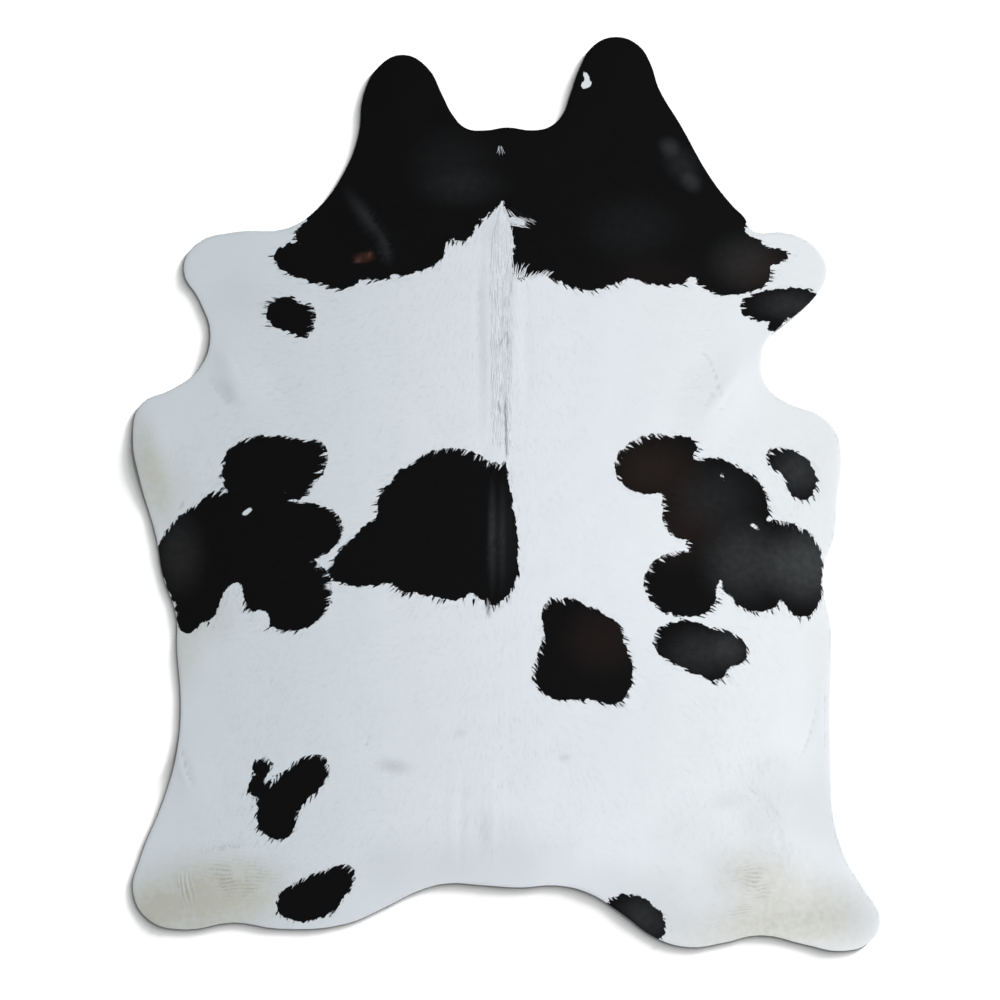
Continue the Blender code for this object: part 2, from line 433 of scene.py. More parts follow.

# Long creases and scratches: points along each, half its width, its height, and how dark it is. On the
# creases and the parting that darkness is painted shade; on the scratches and marks it is their own
# colour.
Line = namedtuple("Line", "points half_width height darkness")
LINES = {
    "parting": Line([(-0.004, 0.285), (-0.002, 0.19), (0.001, 0.09)], 0.004, -0.0012, 0.45),
    "right shoulder scratch": Line(
        [(0.469, 0.345), (0.488, 0.323), (0.503, 0.284), (0.519, 0.229)], 0.0022, -0.0006, 0.35),
    "left thigh crease": Line([(-0.782, -0.615), (-0.77, -0.668), (-0.755, -0.699)], 0.003, -0.0008, 0.4),
    "right flank crease": Line([(0.751, -0.496), (0.729, -0.585), (0.7, -0.653)], 0.003, -0.0006, 0.3),
    "right thigh arc": Line(
        [(0.565, -0.689), (0.604, -0.737), (0.636, -0.786), (0.654, -0.858)], 0.003, -0.0006, 0.3),
    "rump scratch": Line([(-0.327, -0.578), (-0.341, -0.617)], 0.002, -0.0004, 0.5),
    "left leg mark": Line([(-0.87, -0.905), (-0.862, -0.912), (-0.863, -0.92)], 0.002, -0.0003, 0.6),
    "left belly mark": Line([(-0.778, -0.018), (-0.781, -0.027), (-0.787, -0.034)], 0.0024, -0.0003, 0.6),
    "right edge lines": Line([(0.772, -0.39), (0.768, -0.55), (0.774, -0.73)], 0.002, -0.0005, 0.2),
}

Blot = namedtuple("Blot", "x y reach breadth strength turn", defaults=(0,))

# Where the white hair is stained or carries painted shade, and where the black is brown or lighter: soft
# ovals written in the same way, with their strength before the turn. The grey ones are smudges, painted
# shade in the left armpit's hollow, in the troughs beside the spine and in the rump's dip, and a broad
# greying that makes the hide darker towards its tail end and lower right. Where the black is lighter, that
# is painted sheen for light glancing off the hair, as down the middle patch and along the fold in the
# neck, with some sun fading.
BLOTS = {
    "beige": [
        (-735, -980, 270, 160, 0.95, 4), (-620, -940, 180, 110, 0.28), (-865, -1010, 110, 100, 0.45),
        (610, -1065, 340, 110, 0.62), (655, -960, 230, 140, 0.62, -8), (560, -900, 140, 100, 0.25),
        (815, -1010, 140, 120, 0.42), (880, 150, 420, 1000, 0.24), (-862, 55, 62, 210, 0.7, 12),
        (-800, 20, 80, 160, 0.3, 15), (-700, -290, 80, 110, 0.35), (-800, -350, 110, 200, 0.55),
        (-770, -640, 110, 260, 0.06), (760, -400, 70, 160, 0.15), (5, 420, 22, 300, 0.22),
        (-640, 470, 120, 90, 0.15)],
    # Smudges, painted shade in hollows and troughs, and a broad greying towards the tail end.
    "grey": [
        (-270, -655, 60, 25, 0.3, -10), (-110, -575, 22, 14, 0.2), (140, -635, 22, 14, 0.25),
        (-675, 250, 60, 28, 0.22, -50), (530, -740, 60, 30, 0.12, 10), (-58, 371, 18, 260, 0.12),
        (-141, -761, 8, 170, 0.06), (-59, -761, 11, 170, 0.06), (-220, -900, 220, 110, 0.12),
        (150, -890, 200, 110, 0.06), (-10, -900, 210, 170, 0.18), (350, -990, 280, 130, 0.26, -10),
        (800, -780, 130, 240, 0.26), (450, -850, 190, 150, 0.1), (280, -560, 640, 420, 0.07),
        (-50, -805, 14, 70, 0.13), (660, -760, 130, 190, 0.22), (800, -570, 90, 190, 0.16),
        (790, -1000, 200, 120, 0.14), (860, -1030, 120, 130, 0.16), (-20, 640, 60, 90, 0.12)],
    # Painted sheen on the black hair where light glances off it, with some sun fading.
    "sheen_and_fading": [
        (-34, -99, 14, 170, 0.44), (-10, -99, 12, 160, 0.26), (-5, -100, 50, 170, 0.1),
        (720, -170, 130, 120, 0.75), (570, -160, 130, 130, 0.45), (500, -10, 130, 110, 0.2),
        (700, 55, 90, 80, 0.45), (470, -380, 120, 80, 0.32), (540, -370, 60, 60, 0.35),
        (330, -1020, 90, 70, 0.35, -30), (-130, 790, 140, 120, 0.1), (-100, 740, 140, 60, 0.12),
        (-335, 665, 110, 26, 0.3, -52), (-290, 590, 50, 22, 0.25, -75), (392, 836, 35, 30, 0.42, -40),
        (444, 752, 40, 30, 0.38, -40), (420, 795, 70, 50, 0.2, -50), (-790, -140, 80, 130, 0.24),
        (680, 455, 110, 50, 0.34), (300, 640, 160, 110, 0.1), (570, 560, 110, 90, 0.22)],
    "brown": [
        (350, 60, 160, 110, 0.8), (230, -350, 130, 120, 0.55), (420, -80, 130, 130, 0.55),
        (600, 545, 130, 90, 0.6), (-780, -170, 80, 120, 0.2), (350, 530, 170, 60, 0.25)],
    "scar": [
        (-343, 570, 34, 17, 1, 4)],
    "scar's pale spots": [
        (-357, 562, 13, 7, 0.5, 10), (-330, 577, 11, 9, 0.5, 60)],
}


def in_metres(kind, rows):
    """A table's rows as lobes or blots. The first four numbers of each are millimetres."""
    return [kind(*[number / 1000 for number in row[:4]], *row[4:]) for row in rows]


def turned(x, y, item):
    """Where each place is along and across an item, from its middle."""
    c, s = cos(radians(item.turn)), sin(radians(item.turn))
    dx, dy = x - item.x, y - item.y
    return c * dx + s * dy, c * dy - s * dx


def oval_distance(x, y, lobe):
    """About how far each place is inside an oval; outside, it is negative."""
    along, across = turned(x, y, lobe)
    reach = np.sqrt((along / lobe.half_along) ** 2 + (across / lobe.half_across) ** 2) + SMALL
    slope = np.sqrt((along / lobe.half_along ** 2) ** 2 + (across / lobe.half_across ** 2) ** 2) / reach
    return (1 - reach) / (slope + SMALL)


def patch_distance(x, y):
    """About how far each place is inside the black patches, their nicks apart; outside, it is negative."""
    far_outside = -9.0
    inside = np.full(x.shape, far_outside)
    for rows in PATCHES.values():
        patch = np.full(x.shape, far_outside)
        for lobe in in_metres(Lobe, rows):
            oval = oval_distance(x, y, lobe)
            share = np.clip(0.5 + 0.5 * (oval - patch) / PATCH_BLEND, 0, 1)
            blended = patch * (1 - share) + oval * share + PATCH_BLEND * share * (1 - share)
            patch = np.where(np.abs(oval - patch) < PATCH_BLEND, blended, np.maximum(oval, patch))
        inside = np.maximum(inside, patch)
    return inside + EDGE_WANDER * unevenness(x, y, size=0.012, seed=21)


def nick_distance(x, y):
    """About how far each place is outside the white nicks; in a nick, it is negative."""
    return np.min([-oval_distance(x, y, nick) for nick in in_metres(Lobe, NICKS)], axis=0)


def fade(reach):
    """1 in the middle, 0 from reach 1 outwards, level at both ends."""
    return np.where(reach < 1, (1 - np.minimum(reach, 1) ** 2) ** 2, 0)


def oval_fade(x, y, item):
    """1 in the middle of an oval, 0 from its reach and breadth outwards."""
    along, across = turned(x, y, item)
    return fade(np.sqrt((along / item.reach) ** 2 + (across / item.breadth) ** 2))


def line_fade(x, y, line):
    """1 on a line and 0 from its half width outwards, thinning out at its two ends."""
    points = np.array(line.points)
    steps = np.hypot(*np.diff(points, axis=0).T)
    walked = np.concatenate([[0], np.cumsum(steps)])
    least = np.full(x.shape, np.inf)
    taper = np.zeros(x.shape)
    for (ax, ay), (bx, by), before, step in zip(points[:-1], points[1:], walked, steps):
        share = np.clip(((x - ax) * (bx - ax) + (y - ay) * (by - ay)) / step ** 2, 0, 1)
        away = np.hypot(x - ax - share * (bx - ax), y - ay - share * (by - ay))
        nearer = away < least
        least[nearer] = away[nearer]
        place = (before + share * step) / walked[-1]
        taper[nearer] = (4 * place * (1 - place))[nearer] ** 0.5
    return fade(least / line.half_width) * taper


def unevenness(x, y, size, seed):
    """Smooth random waves between about -1 and 1, their bumps about that size."""
    dice = np.random.default_rng(seed)
    total = np.zeros(x.shape)
    waves = 8
    for _wave in range(waves):
        way = dice.uniform(0, 2 * pi)
        wave = size * dice.uniform(1.2, 3.0)
        total += np.sin((x * cos(way) + y * sin(way)) * 2 * pi / wave + dice.uniform(0, 2 * pi))
    return total / sqrt(waves)


def wrinkle_wave(x, y, zone):
    """Short wandering wrinkles from -1 to 1, which fade out towards the zone's edge."""
    along, across = turned(x, y, zone)
    place = np.sqrt((along / zone.reach) ** 2 + (across / zone.breadth) ** 2)
    drift = zone.wander * unevenness(x, y, size=0.05, seed=31)
    wave = np.sin((along + drift) * 2 * pi / zone.spacing)
    patchy = np.clip(0.7 + 0.5 * unevenness(x, y, size=0.03, seed=32), 0, 1)
    return fade(place) * patchy * wave


def relief(x, y):
    """How far the folds, creases and wrinkles raise or sink the coat."""
    height = COAT_UNEVENNESS * unevenness(x, y, size=0.05, seed=41)
    for swell in SWELLS.values():
        height = height + swell.height * oval_fade(x, y, swell)
    for line in LINES.values():
        height = height + line.height * line_fade(x, y, line)
    for zone in WRINKLES.values():
        inside = oval_fade(x, y, zone) > 0
        height[inside] += zone.depth * wrinkle_wave(x[inside], y[inside], zone)
    return height


def coat_top(x, y):
    """The height of the coat's body over the floor."""
    depth = PILE + BACK_PILE * fade(np.abs(x) / BACK_HALF_WIDTH) + relief(x, y)
    edge = np.clip((read_map(inside_map, x, y) + OVERHANG) / RIM_ROUND, 0, 1)
    rounding = np.sqrt(1 - (1 - edge) ** 2)
    return read_map(floor_gap_map, x, y) + SKIN_THICKNESS + np.maximum(depth, LEAST_PILE) * rounding


def blot_strength(kind, x, y):
    """How strong one kind of blot is at each place, from 0 to 1. The kinds are stains, painted shade and
    painted sheen.
    """
    total = np.zeros(x.shape)
    for blot in in_metres(Blot, BLOTS[kind]):
        total = total + blot.strength * oval_fade(x, y, blot)
    return np.clip(total, 0, 1)


def crease_shade_and_marks(x, y):
    """How much creases, scratches and wrinkles darken the hair: painted shade in the creases and the
    wrinkles' troughs, and the scratches' own dark colour.
    """
    total = np.zeros(x.shape)
    for line in LINES.values():
        total = np.maximum(total, line.darkness * line_fade(x, y, line))
    for zone in WRINKLES.values():
        inside = oval_fade(x, y, zone) > 0
        total[inside] += WRINKLE_SHADE * np.maximum(-wrinkle_wave(x[inside], y[inside], zone), 0)
    return total


# The way that the hair lies, read at places on both sides: how far each is from the spine, its y, and
# the degrees outwards from straight down the hide.
LIES = [
    (0, 0.6, 5), (0, 0.3, 5), (0, 0, 5), (0, -0.3, 5), (0, -0.6, 5), (0, -0.9, 5), (0.15, 0.85, 30),
    (0.2, 0.7, 40), (0.25, 1.05, 25), (0.38, 0.8, 50), (0.45, 0.65, 75), (0.1, 0.45, 25),
    (0.12, 0.1, 35), (0.12, -0.15, 30), (0.12, -0.4, 45), (0.12, -0.75, 18), (0.12, -0.92, 20),
    (0.3, 0.6, 55), (0.3, 0.3, 60), (0.3, -0.05, 68), (0.25, -0.4, 60), (0.25, -0.65, 38),
    (0.32, -0.85, 45), (0.32, -1.02, 52), (0.53, 0.43, 90), (0.65, 0.45, 96), (0.72, 0.55, 95),
    (0.55, 0.2, 75), (0.66, 0.08, 50), (0.5, -0.05, 80), (0.45, -0.2, 74), (0.45, -0.37, 68),
    (0.4, -0.6, 42), (0.86, 0.1, 20), (0.8, 0.08, 25), (0.74, -0.1, 10), (0.65, -0.2, 25),
    (0.76, -0.3, 8), (0.62, -0.35, 35), (0.76, -0.55, 8), (0.6, -0.55, 28), (0.55, -0.72, 22),
    (0.47, -0.97, 42), (0.62, -1, 30), (0.7, -0.85, 20), (0.8, -1, 30), (0.86, -1.02, 40),
]
LIE_BLEND = 0.05
BROAD_SWAY = 9             # how far the hair strays from that in broad and in narrow waves, in degrees
NARROW_SWAY = 5
NECK_SWIRL = Swell(0.075, 0.545, 0.055, 0.05, 0, 95)     # its height is a turn of the hair, in degrees


def heading(x, y):
    """The way that the hair lies, in degrees anticlockwise from +X."""
    total, weights = np.zeros(x.shape), np.zeros(x.shape)
    for away, lie_y, lie_way in LIES:
        weight = ((np.abs(x) - away) ** 2 + (y - lie_y) ** 2 + LIE_BLEND ** 2) ** -2.0
        total += weight * lie_way
        weights += weight
    way = -90 + np.sign(x + TINY) * total / weights + NECK_SWIRL.height * oval_fade(x, y, NECK_SWIRL)
    way += BROAD_SWAY * unevenness(x, y, size=0.1, seed=51)
    return way + NARROW_SWAY * unevenness(x, y, size=0.03, seed=52)


def creased(x, y):
    """1 on creases and in the wrinkled skin, fading to 0 around them."""
    most = np.zeros(x.shape)
    for line in LINES.values():
        wide_line = line._replace(half_width=CREASE_SPREAD * line.half_width)
        most = np.maximum(most, line_fade(x, y, wide_line))
    for zone in WRINKLES.values():
        most = np.maximum(most, np.minimum(3 * oval_fade(x, y, zone), 1))
    return np.minimum(2 * most, 1)


def hair_length(x, y):
    """How long the hair is that grows at each place."""
    at_edge = fade(np.clip(read_map(inside_map, x, y) / LEG_HAIR_REACH, 0, 1))
    length = HAIR_LENGTH * (1 - (1 - LEG_HAIR_SHARE) * at_edge)
    return length * (1 - (1 - CREASE_HAIR_SHARE) * creased(x, y))


def moved(x, y, way, length):
    """The places that far along a heading from each place."""
    way = np.radians(way)
    return x + length * np.cos(way), y + length * np.sin(way)


def patch_at_roots(x, y):
    """How far inside a black patch the hair that grows at each place is seen."""
    return patch_distance(*moved(x, y, heading(x, y), SEEN_SHARE * hair_length(x, y)))


def set_attribute(mesh, name, values):
    """A number on each vert, for the shader."""
    layer = mesh.attributes.new(name, "FLOAT", "POINT")
    layer.data.foreach_set("value", np.asarray(values, np.float32))


def set_marks(mesh, x, y, own_patch=True):
    """The stains, marks, painted shade and painted sheen on each vert, and how far it is inside a black
    patch.
    """
    if own_patch:
        set_attribute(mesh, "patch", np.minimum(patch_at_roots(x, y), nick_distance(x, y)))
    set_attribute(mesh, "beige", blot_strength("beige", x, y))
    set_attribute(mesh, "grey", np.maximum(blot_strength("grey", x, y), crease_shade_and_marks(x, y)))
    set_attribute(mesh, "sheen_and_fading", blot_strength("sheen_and_fading", x, y))
    set_attribute(mesh, "brown", blot_strength("brown", x, y))


def flat_uv(mesh, x, y):
    """A map seen from above, one scale both ways."""
    side = max(high.x - low.x, high.y - low.y) + 2 * MAP_MARGIN
    corner = np.zeros(len(mesh.loops), np.int32)
    mesh.loops.foreach_get("vertex_index", corner)
    uv = np.column_stack([(x[corner] - west) / side, (y[corner] - south) / side])
    mesh.uv_layers.new(name="OFBake").data.foreach_set("uv", uv.astype(np.float32).ravel())


# The white hair is bluish grey on the left side, and cleaner from the spine on. Its darker tone on the
# left side is partly painted shade, for light that falls from the right.
WHITE_LEFT = (0.636, 0.692, 0.731, 1)
WHITE_MIDDLE = (0.733, 0.764, 0.802, 1)
WHITE_RIGHT = (0.714, 0.742, 0.77, 1)
BEIGE = (0.5, 0.5, 0.44, 1)
# The grey of the smudges and of the painted shade.
STAIN_AND_SHADE_GREY = (0.27, 0.29, 0.31, 1)
BLACK = (0.004, 0.004, 0.0044, 1)
# The black hair's painted sheen, with some sun fading.
SHEEN_AND_FADED_BLACK = (0.05, 0.054, 0.056, 1)
BROWN = (0.018, 0.012, 0.01, 1)
SCAR_RED = (0.035, 0.014, 0.01, 1)
SCAR_PALE = (0.1, 0.055, 0.045, 1)
SCAR_GAIN = 1.6            # how much sharper the scar's edge is than a stain's
PALE_GAIN = 1.4
LEFT_TO_MIDDLE = (-0.55, 0.08)
MIDDLE_TO_RIGHT = (0.1, 0.6)
RAGGED_REACH = 0.008       # how far the under-layer's patches stray from their outline
BLACK_FROM = 0.0008        # they turn from white to black from this far outside it to as far inside


def attribute(material, name):
    return add_node(material, "Attribute", attribute_name=name).outputs["Fac"]


def white_hair_colour(material):
    """White hair from one side of the hide to the other, darker on the left partly as painted shade,
    cloudy, with its stains and the painted shade of its hollows and creases.
    """
    across = add_node(material, "SeparateXYZ", {"Vector": own_place(material)}).outputs["X"]
    clouds = sums(material, "SUBTRACT", noise(material, scale=9, detail=4), 0.5)
    across = sums(material, "ADD", across, sums(material, "MULTIPLY", clouds, 0.2))
    colour = mixed(material, ranged(material, across, *LEFT_TO_MIDDLE), WHITE_LEFT, WHITE_MIDDLE)
    colour = mixed(material, ranged(material, across, *MIDDLE_TO_RIGHT), colour, WHITE_RIGHT)
    mottle = sums(material, "ADD", noise(material, scale=70, detail=4), 0.5)
    stained = sums(material, "MULTIPLY", attribute(material, "beige"), mottle)
    colour = mixed(material, stained, colour, BEIGE)
    return mixed(material, attribute(material, "grey"), colour, STAIN_AND_SHADE_GREY)


def black_hair_colour(material):
    """Black hair, brownish in places, and lighter where painted sheen stands for light glancing off it,
    with some sun fading.
    """
    mottle = sums(material, "ADD", noise(material, scale=60, detail=3), 0.5)
    sheen_and_fading = sums(material, "MULTIPLY", attribute(material, "sheen_and_fading"), mottle)
    colour = mixed(material, attribute(material, "brown"), BLACK, BROWN)
    return mixed(material, sheen_and_fading, colour, SHEEN_AND_FADED_BLACK)


def coat_material():
    """Short dense hair seen from above: white, with the black patches, and the scar's bare skin."""
    material, shader = new_material("cow coat", roughness=0.7, specular=0.04)
    ragged = sums(material, "SUBTRACT", noise(material, scale=160, detail=3), 0.5)
    ragged = sums(material, "MULTIPLY", ragged, RAGGED_REACH)
    edge = sums(material, "ADD", attribute(material, "patch"), ragged)
    is_black = ranged(material, edge, -BLACK_FROM, BLACK_FROM)
    colour = mixed(material, is_black, white_hair_colour(material), black_hair_colour(material))
    colour = mixed(material, attribute(material, "scar"), colour, SCAR_RED)
    colour = mixed(material, attribute(material, "scar_pale"), colour, SCAR_PALE)
    feed(material, shader.inputs["Base Color"], colour)
    bumped(material, shader, noise(material, scale=700, detail=3), distance=0.0002)
    return material


def outward(x, y):
    """The way out of the outline, from the slope of the map."""
    step = MAP_STEP / 2
    dx = read_map(inside_map, x - step, y) - read_map(inside_map, x + step, y)
    dy = read_map(inside_map, x, y - step) - read_map(inside_map, x, y + step)
    length = np.hypot(dx, dy) + TINY
    return dx / length, dy / length


coat_bm = sheet_in_outline(COAT_CELL)
for zone in WRINKLES.values():
    faces = list(coat_bm.faces)
    middles = np.array([face.calc_center_median()[:2] for face in faces])
    inside = (oval_fade(middles[:, 0], middles[:, 1], zone) > 0) & np.array(
        [all(len(edge.link_faces) == 2 for edge in face.edges) for face in faces])
    edges = {edge for face, wanted in zip(faces, inside) if wanted for edge in face.edges}
    bmesh.ops.subdivide_edges(coat_bm, edges=list(edges), cuts=1, use_grid_fill=True)
coat_x, coat_y = places(coat_bm.verts)
for vert, height in zip(coat_bm.verts, coat_top(coat_x, coat_y)):
    vert.co.z = height
flat_x, flat_y = coat_x, coat_y
for row, (reach, over_skin) in enumerate(((OVERHANG, HEM_RISE), (-HEM_TUCK, -HEM_TUCK)), 1):
    hem_edges = [edge for edge in coat_bm.edges if edge.is_boundary]
    made = bmesh.ops.extrude_edge_only(coat_bm, edges=hem_edges)["geom"]
    hem = [item for item in made if isinstance(item, bmesh.types.BMVert)]
    hem_x, hem_y = places(hem)
    rim_x, rim_y, _square = nearest_on_rim(hem_x, hem_y)
    out_x, out_y = outward(rim_x, rim_y)
    base = read_map(floor_gap_map, rim_x, rim_y) + SKIN_THICKNESS + over_skin
    for vert, x, y, z in zip(hem, rim_x + reach * out_x, rim_y + reach * out_y, base):
        vert.co = x, y, z
    flat_x = np.concatenate([flat_x, rim_x + HEM_ON_MAP * row * out_x])
    flat_y = np.concatenate([flat_y, rim_y + HEM_ON_MAP * row * out_y])
bmesh.ops.recalc_face_normals(coat_bm, faces=coat_bm.faces)
if sum(face.normal.z for face in coat_bm.faces) < 0:
    bmesh.ops.reverse_faces(coat_bm, faces=coat_bm.faces)
all_x, all_y = places(coat_bm.verts)
coat = new_piece("coat", coat_bm, coat_material())
set_marks(coat.data, all_x, all_y)
scar = SCAR_GAIN * blot_strength("scar", all_x, all_y)
pale_spots = PALE_GAIN * blot_strength("scar's pale spots", all_x, all_y)
set_attribute(coat.data, "scar", np.clip(scar, 0, 1))
set_attribute(coat.data, "scar_pale", np.clip(pale_spots, 0, 1))
flat_uv(coat.data, flat_x, flat_y)
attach(coat, "root")


# --- The hair -------------------------------------------------------------------------------------
# Straight sleek cow hair about 12 to 20 mm long, lying flat in small pointed locks like shingles. It
# runs from the spine outwards and towards the tail. A lock is 14 pointed blades that draw together at
# their tips.

BEND_MIDDLE = 0.3          # a bent blade has its heading that far along it
BLADE_TAPER = 0.55
ROOT_NARROWING = 0.25
ROOT_SINK = 0.0003         # it starts that far inside the coat
BLADE_ROLL = 0.07          # the spread of its roll, in radians
ARCH_START = 0.05          # it rises and comes down along this part of a half wave
ARCH_SPAN = 0.8
TIP_RISE = 0.25            # and a little more is added towards the tip


def hair_piece(name, root_x, root_y, way, length, width, bend, raise_by, sections, material, dice):
    """Tapered blades as one mesh: each has a few cross-sections two verts wide, and a pointed tip."""
    count = len(root_x)
    share = np.linspace(0, 1, sections + 1)
    angle = np.radians(way)[:, None] + np.radians(bend)[:, None] * (share - BEND_MIDDLE)
    step = (length / sections)[:, None]
    mid_angle = (angle[:, :-1] + angle[:, 1:]) / 2
    at_root = np.zeros((count, 1))
    line_x = root_x[:, None] + np.concatenate([at_root, np.cumsum(step * np.cos(mid_angle), 1)], 1)
    line_y = root_y[:, None] + np.concatenate([at_root, np.cumsum(step * np.sin(mid_angle), 1)], 1)
    arch = np.sin(pi * np.minimum(share * ARCH_SPAN + ARCH_START, 1)) + TIP_RISE * share
    coat_z = coat_top(line_x.ravel(), line_y.ravel()).reshape(line_x.shape)
    line_z = coat_z + raise_by[:, None] * arch - ROOT_SINK
    half = width[:, None] / 2 * (1 - BLADE_TAPER * share ** 2 - ROOT_NARROWING * (share == 0))
    roll = dice.normal(0, BLADE_ROLL, count)[:, None]
    side_x, side_y = -np.sin(angle) * half, np.cos(angle) * half
    side_z = np.tan(roll) * half
    left = np.stack([line_x + side_x, line_y + side_y, line_z + side_z], -1)[:, :-1]
    right = np.stack([line_x - side_x, line_y - side_y, line_z - side_z], -1)[:, :-1]
    tip = np.stack([line_x, line_y, line_z], -1)[:, -1:]
    pairs = np.stack([left, right], 2).reshape(count, 2 * sections, 3)
    verts = np.concatenate([pairs, tip], 1)
    in_blade = 2 * sections + 1
    corners = []
    for k in range(sections - 1):
        corners += [2 * k + 1, 2 * k + 3, 2 * k + 2, 2 * k]
    corners += [2 * sections - 1, 2 * sections, 2 * sections - 2]
    sizes = [4] * (sections - 1) + [3]
    mesh = bpy.data.meshes.new(name)
    mesh.vertices.add(count * in_blade)
    mesh.vertices.foreach_set("co", verts.astype(np.float32).ravel())
    starts = np.concatenate([[0], np.cumsum(sizes)[:-1]])
    mesh.loops.add(count * len(corners))
    mesh.loops.foreach_set("vertex_index", (
        np.arange(count)[:, None] * in_blade + np.array(corners)).astype(np.int32).ravel())
    mesh.polygons.add(count * len(sizes))
    mesh.polygons.foreach_set("loop_start", (
        np.arange(count)[:, None] * len(corners) + starts).astype(np.int32).ravel())
    mesh.update(calc_edges=True)
    flat = verts.reshape(-1, 3)
    flat_uv(mesh, flat[:, 0], flat[:, 1])
    middle_x = np.repeat(line_x[:, sections // 2], in_blade)
    middle_y = np.repeat(line_y[:, sections // 2], in_blade)
    set_marks(mesh, middle_x, middle_y, own_patch=False)
    set_attribute(mesh, "to_tip", np.tile(np.append(np.repeat(share[:-1], 2), 1), count))
    return new_object(name, mesh, material)


def hair_material(name, colour_of, roughness, specular, root_shade):
    """Hair whose colour varies from lock to lock, with painted shade that darkens it towards its roots."""
    material, shader = new_material(name, roughness, specular)
    colour = colour_of(material)
    shade = sums(material, "ADD", attribute(material, "shade"), 1.0)
    up = ranged(material, attribute(material, "to_tip"), 0.0, 1.0, at_lowest=root_shade)
    value = sums(material, "MULTIPLY", shade, up)
    grey = add_node(material, "CombineColor", {
        "Red": value, "Green": value, "Blue": value}).outputs["Color"]
    feed(material, shader.inputs["Base Color"], mixed(material, 1.0, colour, grey, blend="MULTIPLY"))
    return material


white_hair = hair_material(
    "white cow hair", white_hair_colour, roughness=0.6, specular=0.1, root_shade=0.98)
black_hair = hair_material(
    "black cow hair", black_hair_colour, roughness=0.5, specular=0.03, root_shade=0.8)

# The locks. A spread is a standard deviation, and a pair is the lowest and the highest value.
LOCK_SPACING = 0.0078
LOCK_SCATTER = 0.45        # how far a lock strays from its place in the rows, in spacings
LOCK_INSET = 0.0005        # no lock grows nearer to the rim
BARE_FROM = 0.12           # or where the scar is stronger than this
LOCK_WAY_SPREAD = 4
LOCK_LENGTHS = (0.85, 1.2)
LOCK_SHADE_SPREAD = 0.008
LOCK_SHADE_CLOUDS = 0.006
RAGGEDNESS = 0.08          # how unevenly locks reach over a patch's edge, in hair lengths
TOOTH_SHARE = 0.52         # that share of the locks stands out over the edge as separate teeth
TOOTH_REACH = 0.16         # each reaches up to that much further than the rest, or less far

dice = np.random.default_rng(7)
lock_x, lock_y = np.meshgrid(
    np.arange(low.x, high.x, LOCK_SPACING), np.arange(low.y, high.y, LOCK_SPACING))
lock_x = (lock_x + dice.uniform(-LOCK_SCATTER, LOCK_SCATTER, lock_x.shape) * LOCK_SPACING).ravel()
lock_y = (lock_y + dice.uniform(-LOCK_SCATTER, LOCK_SCATTER, lock_y.shape) * LOCK_SPACING).ravel()
kept = read_map(inside_map, lock_x, lock_y) > LOCK_INSET
kept &= blot_strength("scar", lock_x, lock_y) < BARE_FROM
lock_x, lock_y = lock_x[kept], lock_y[kept]
locks = len(lock_x)
lock_way = heading(lock_x, lock_y) + dice.normal(0, LOCK_WAY_SPREAD, locks)
lock_length = hair_length(lock_x, lock_y) * dice.uniform(*LOCK_LENGTHS, locks)
along_x, along_y = np.cos(np.radians(lock_way)), np.sin(np.radians(lock_way))
is_tooth = dice.uniform(0, 1, locks) < TOOTH_SHARE
seen_share = SEEN_SHARE + dice.normal(0, RAGGEDNESS, locks)
seen_share += is_tooth * dice.choice([-TOOTH_REACH, TOOTH_REACH], locks) * dice.uniform(0.5, 1, locks)
seen_x, seen_y = moved(lock_x, lock_y, lock_way, lock_length * seen_share)
lock_in_patch = patch_distance(seen_x, seen_y)
lock_shade = dice.normal(0, LOCK_SHADE_SPREAD, locks)
lock_shade += LOCK_SHADE_CLOUDS * unevenness(lock_x, lock_y, size=0.02, seed=61)

# The blades. Those of a lock turn towards one point a little past their tips.
BLADES_IN_LOCK = 14
BLADE_SECTIONS = 1
BLADE_WIDTH = 0.0017
BLADE_WIDTHS = (0.7, 1.2)
BLADE_LENGTHS = (0.85, 1.05)
SHORTEST_BLADE = 0.003
BLADE_RAISES = (0.0003, 0.0007)    # how far it stands off the coat, at the full hair length
BLADE_BEND_SPREAD = 5
BLADE_WAY_SPREAD = 2.5
BLADE_SHADE_SPREAD = 0.014
BLACK_SHADE_GAIN = 8       # the shades of black blades vary that many times as much
LOCK_HALF_WIDTH = 0.55     # in spacings
LOCK_HALF_LENGTH = 0.6
MIDDLE_BLADE = 1.08        # a lock's middle blade is that much longer
OUTER_BLADE_LOSS = 0.3     # and its outermost ones are that much shorter again
MEETING_PLACE = 1.3        # in blade lengths
CLOSING = 0.55             # they turn that share of the way, and at a patch's edge twice as much
PAST_RIM = (0.2, 1.0)
LONGEST_PAST_RIM = 0.0026
EDGE_ZONE = 0.016          # this near to a patch's edge locks are not all one colour
EDGE_NARROWING = 0.25      # and they are tighter
EDGE_SHORTENING = 0.3      # and shorter
TOOTH_SPARED = 0.6         # but a tooth is spared that share of the shortening
EDGE_WIDENING = 0.7        # and their blades are wider
TOOTH_RAISE = 0.0005
OWN_SHARE = 0.12           # how far a blade's own place counts for its colour there, besides its lock's
MIDDLE_OF_BLADE = 0.6      # a nick shows in the blades that have this part of them in it

